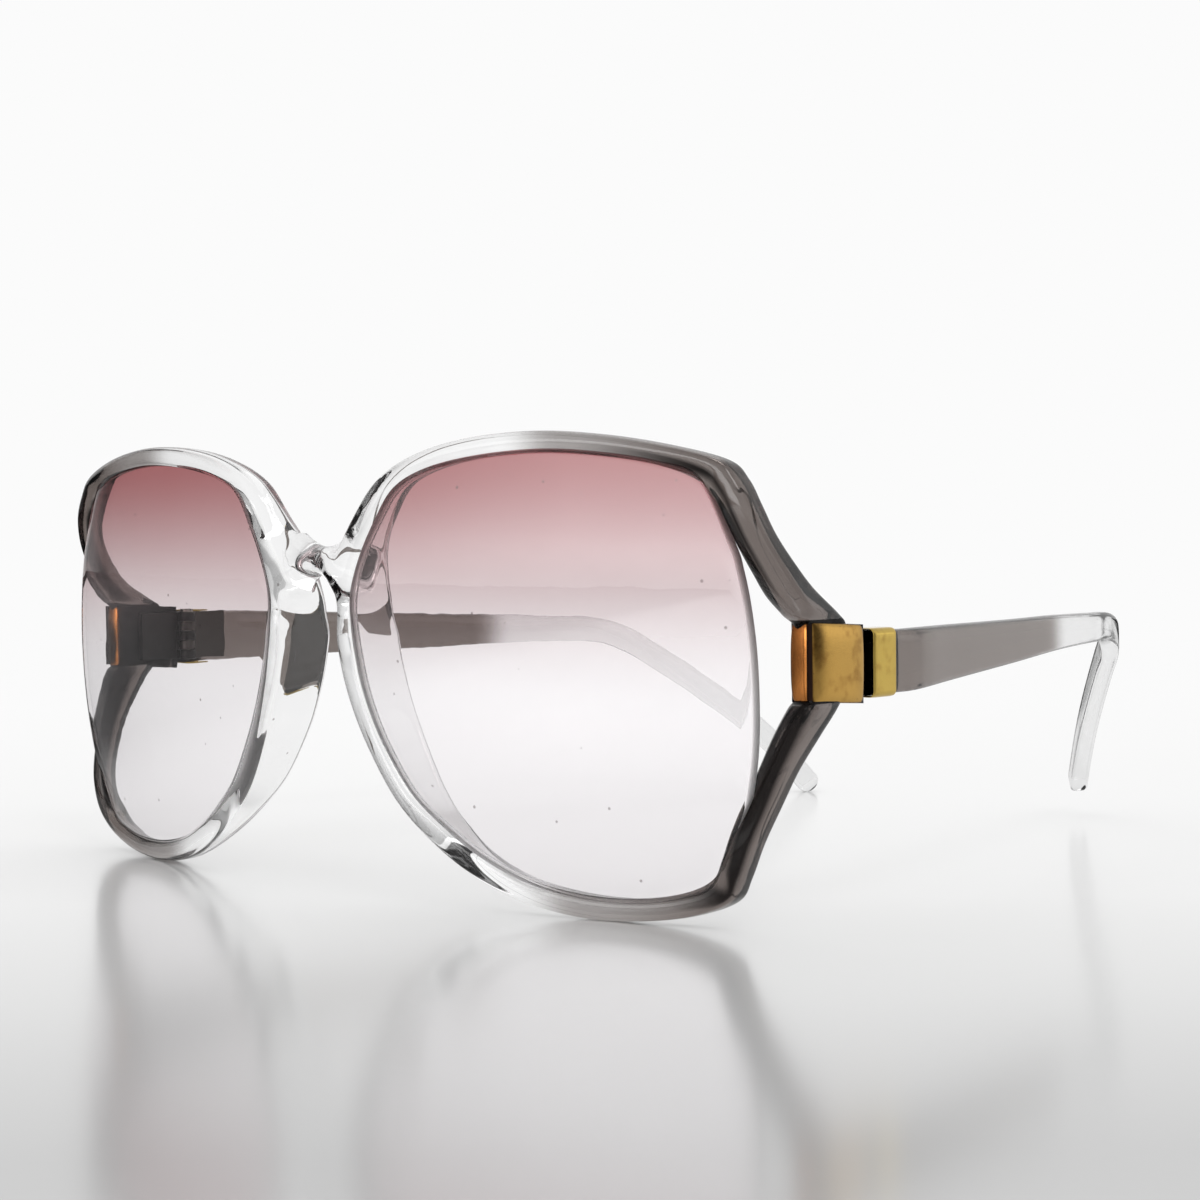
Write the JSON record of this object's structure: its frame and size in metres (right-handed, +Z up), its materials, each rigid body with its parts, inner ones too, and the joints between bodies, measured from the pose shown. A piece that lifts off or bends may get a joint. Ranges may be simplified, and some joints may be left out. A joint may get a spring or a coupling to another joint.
{
  "type": "reading sunglasses",
  "caption": "Oversized sunglasses with reading lenses, moulded clear front with open forked corners, gilt end trims and folding temples.",
  "frame": {"origin": "bottom centre of the bounding box, on the table that the two rims and the left ear-piece tip rest on", "axes": "+Z up; the front looks to -Y and the open temples run back to +Y; +X is the right of the picture, the wearer's left"},
  "size_m": [0.1434, 0.1472, 0.0619],
  "materials": {
    "clear_front": "polished clear moulding, smoke tint at the outer sides",
    "smoke_temple": "polished smoke moulding that fades to clear towards the bend",
    "rose_lens": "polished, rose tint at the top that fades downwards",
    "gilt": "polished gilt with fine scratches and pits",
    "hinge_steel": "satin"
  },
  "bodies": {
    "front": {"front_frame": "clear_front", "lens_right": "rose_lens", "lens_left": "rose_lens", "end_trim_right": "gilt", "end_trim_left": "gilt", "hinge_front_right": "hinge_steel", "hinge_front_left": "hinge_steel", "hinge_screw_right": "hinge_steel", "hinge_screw_left": "hinge_steel"},
    "right_temple": {"temple_right": "smoke_temple", "temple_sleeve_right": "gilt", "hinge_temple_right": "hinge_steel"},
    "left_temple": {"temple_left": "smoke_temple", "temple_sleeve_left": "gilt", "hinge_temple_left": "hinge_steel"}
  },
  "joints": [
    {"name": "right_hinge", "type": "hinge", "parent": "front", "child": "right_temple", "pos_m": [0.06654, -0.04198, 0.03286], "axis": [0, 0, 1], "range_deg": [0, 66]},
    {"name": "left_hinge", "type": "hinge", "parent": "front", "child": "left_temple", "pos_m": [-0.06654, -0.04198, 0.03286], "axis": [0, 0, -1], "range_deg": [0, 76]}
  ]
}
